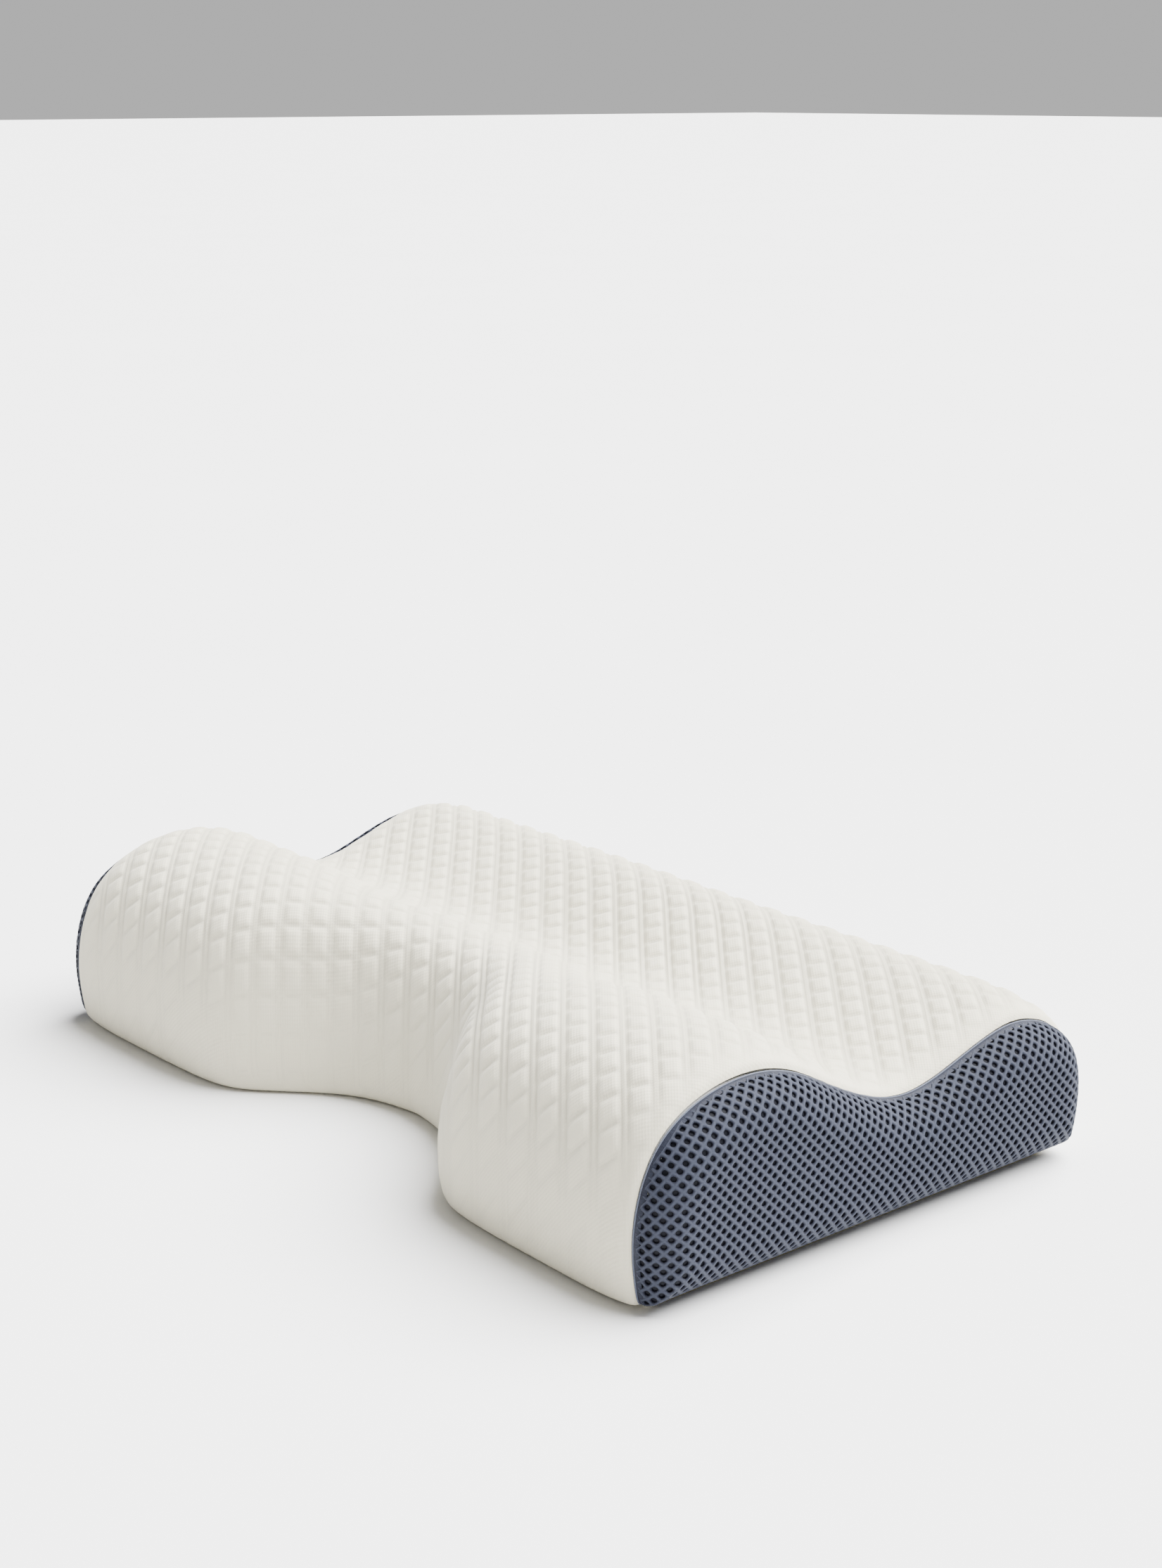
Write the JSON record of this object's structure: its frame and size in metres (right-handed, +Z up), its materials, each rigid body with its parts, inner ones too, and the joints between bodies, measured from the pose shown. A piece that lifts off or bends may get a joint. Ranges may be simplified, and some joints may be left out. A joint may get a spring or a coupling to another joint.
{
  "type": "contoured bed pillow",
  "caption": "Contoured bed pillow with two lobes, a neck hollow and a curved shoulder cut-out, in a zipped quilted knit cover with mesh end panels.",
  "frame": {"origin": "on the floor under the middle of the pillow's box", "axes": "+X along the length, -Y towards the shoulder side with the cut-out, +Z up"},
  "size_m": [0.6082, 0.3477, 0.1245],
  "materials": {
    "knit": "matt quilted knit",
    "mesh": "matt spacer mesh",
    "foam": "matt open-cell foam",
    "liner": "matt thin knit",
    "thread": "matt sewing thread",
    "zip_tape": "matt woven tape",
    "zip_coil": "satin nylon",
    "zip_metal": "satin",
    "label": "smooth satin ribbon"
  },
  "bodies": {
    "pillow": {"foam_core": "foam", "inner_liner": "liner", "cover_top": "knit", "cover_base": "knit", "base_seam": "thread", "end_panel_right": "mesh", "end_panel_left": "mesh", "end_seam_right": "thread", "end_seam_left": "thread", "zipper_tape_upper": "zip_tape", "zipper_tape_lower": "zip_tape", "zipper_coil_upper": "zip_coil", "zipper_coil_lower": "zip_coil", "zip_stitching_upper": "thread", "zip_stitching_lower": "thread", "zipper_top_stop": "zip_metal", "zipper_bottom_stop": "zip_metal", "care_label": "label"},
    "slider": {"zipper_slider": "zip_metal"},
    "pull": {"zipper_pull": "zip_metal"}
  },
  "joints": [
    {"name": "slider_travel", "type": "slide", "parent": "pillow", "child": "slider", "axis": [-1, 0, 0], "range_m": [0, 0.412]},
    {"name": "pull_swing", "type": "hinge", "parent": "slider", "child": "pull", "pos_m": [0.206, 0.1722, 0.03], "axis": [0, 0, 1], "range_deg": [-180, 0]}
  ]
}
